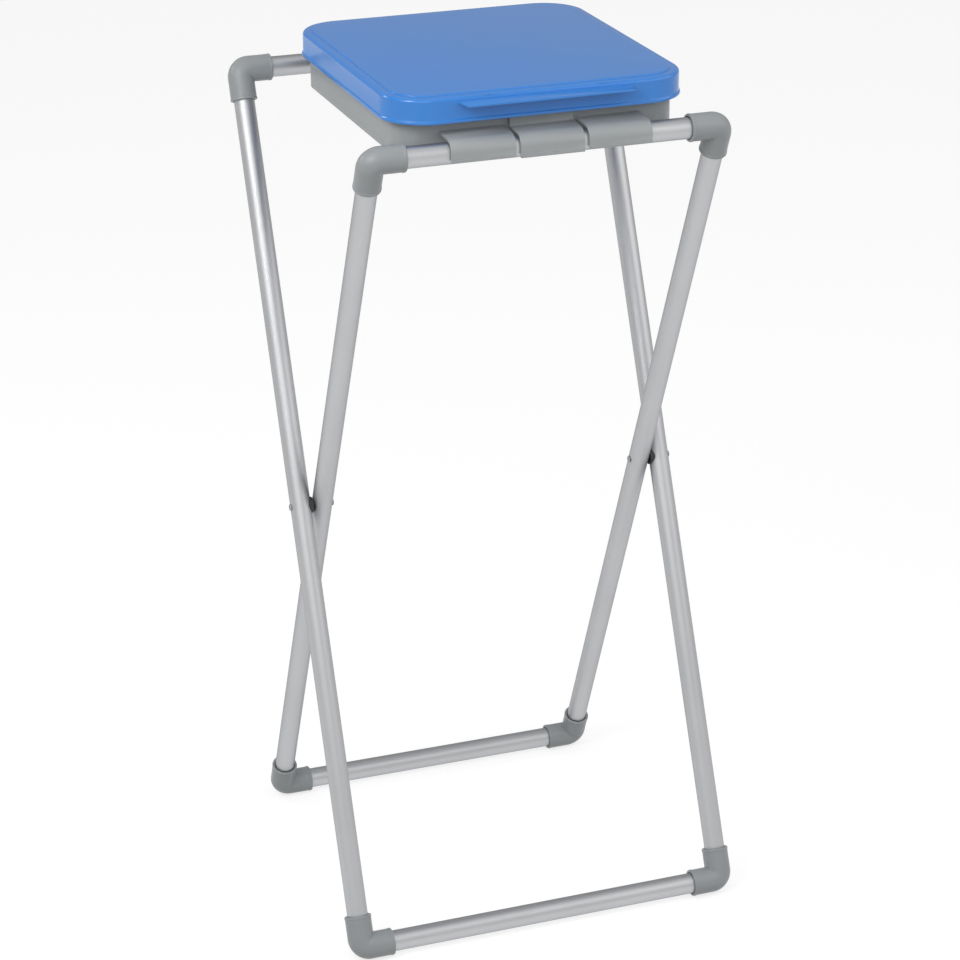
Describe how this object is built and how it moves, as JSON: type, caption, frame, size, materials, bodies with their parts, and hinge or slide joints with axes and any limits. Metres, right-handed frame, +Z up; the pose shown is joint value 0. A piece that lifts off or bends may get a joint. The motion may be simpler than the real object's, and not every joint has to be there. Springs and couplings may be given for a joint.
{
  "type": "bin bag holder",
  "caption": "Folding scissor stand of round tube with moulded elbows, a ring that holds a bin bag's mouth open, a clamp frame on its rim and a hinged lid.",
  "frame": {"origin": "on the floor, under the middle of the open stand", "axes": "+Z up, -Y towards the front, where the lid's finger ledge and the hooks are, and +X along the bars"},
  "size_m": [0.4612, 0.423, 0.972],
  "materials": {
    "tube": "satin",
    "elbow": "moulded, fine texture",
    "ring": "moulded, smooth",
    "lid": "gloss",
    "rivet": "plated",
    "spacer": "moulded"
  },
  "bodies": {
    "outer_frame": {"outer_leg_left": "tube", "outer_leg_right": "tube", "rear_top_bar": "tube", "front_foot_bar": "tube", "elbow_rear_top_left": "elbow", "elbow_rear_top_right": "elbow", "elbow_front_foot_left": "elbow", "elbow_front_foot_right": "elbow", "pivot_rivet_left": "rivet", "pivot_rivet_right": "rivet", "pivot_spacer_left": "spacer", "pivot_spacer_right": "spacer"},
    "inner_frame": {"inner_leg_left": "tube", "inner_leg_right": "tube", "front_top_bar": "tube", "rear_foot_bar": "tube", "elbow_front_top_left": "elbow", "elbow_front_top_right": "elbow", "elbow_rear_foot_left": "elbow", "elbow_rear_foot_right": "elbow"},
    "ring": {"bag_ring": "ring"},
    "clamp": {"clamp_frame": "ring"},
    "cover": {"lid": "lid"}
  },
  "joints": [
    {"name": "frame_fold", "type": "hinge", "parent": "outer_frame", "child": "inner_frame", "pos_m": [0, 0, 0.465], "axis": [-1, 0, 0], "range_deg": [0, 43.5]},
    {"name": "ring_swing", "type": "hinge", "parent": "outer_frame", "child": "ring", "pos_m": [0, 0.1965, 0.915], "axis": [-1, 0, 0], "range_deg": [0, 257]},
    {"name": "clamp_swing", "type": "hinge", "parent": "ring", "child": "clamp", "pos_m": [0, 0.1965, 0.915], "axis": [-1, 0, 0], "range_deg": [0, 40]},
    {"name": "lid_hinge", "type": "hinge", "parent": "clamp", "child": "cover", "pos_m": [0, 0.155, 0.945], "axis": [-1, 0, 0], "range_deg": [0, 90]}
  ],
  "couplings": [
    {"joint": "ring_swing", "follows": "frame_fold", "ratio": 5.9}
  ]
}
